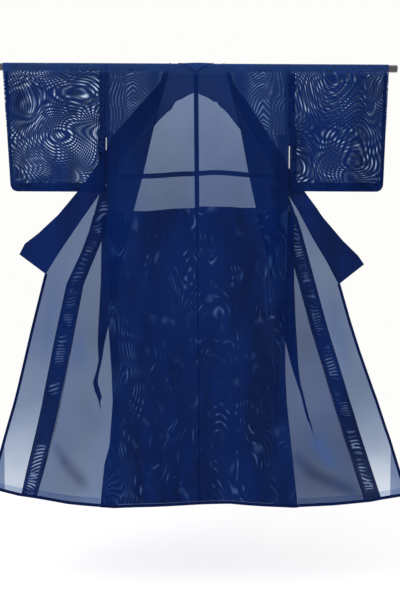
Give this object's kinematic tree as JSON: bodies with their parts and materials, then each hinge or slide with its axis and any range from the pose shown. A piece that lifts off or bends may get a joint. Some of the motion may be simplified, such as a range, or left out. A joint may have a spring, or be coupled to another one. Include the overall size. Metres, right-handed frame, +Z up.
{
  "type": "summer kimono on a hanging rod",
  "caption": "Sheer unlined summer kimono hung flat on a rod through both sleeves, back to the viewer, with its fronts swung open to the sides.",
  "frame": {"origin": "middle of the axis of the rod that the garment hangs on", "axes": "+Z up, +X along the rod towards the wearer's right sleeve as seen from the back, -Y out of the garment's back"},
  "size_m": [1.4521, 0.0316, 1.5288],
  "materials": {
    "gauze": "sheer open-weave summer gauze, navy",
    "gauze_layered": "the same gauze in several layers at seams, tucks and collar",
    "rod_wood": "dark satin lacquer"
  },
  "bodies": {
    "root": {"rod": "rod_wood", "back_left": "gauze", "back_right": "gauze", "front_left": "gauze", "front_right": "gauze", "overlap_left": "gauze", "overlap_right": "gauze", "overlap_seam_left": "gauze_layered", "overlap_seam_right": "gauze_layered", "collar_left": "gauze_layered", "collar_right": "gauze_layered", "collar_neck": "gauze_layered", "seam_binding": "gauze_layered", "waist_tuck_left": "gauze_layered", "waist_tuck_right": "gauze_layered", "seat_lining_left": "gauze", "seat_lining_right": "gauze", "side_seam_left": "gauze_layered", "side_seam_right": "gauze_layered", "sleeve_left_back": "gauze", "sleeve_left_front": "gauze", "sleeve_right_back": "gauze", "sleeve_right_front": "gauze"}
  },
  "joints": []
}
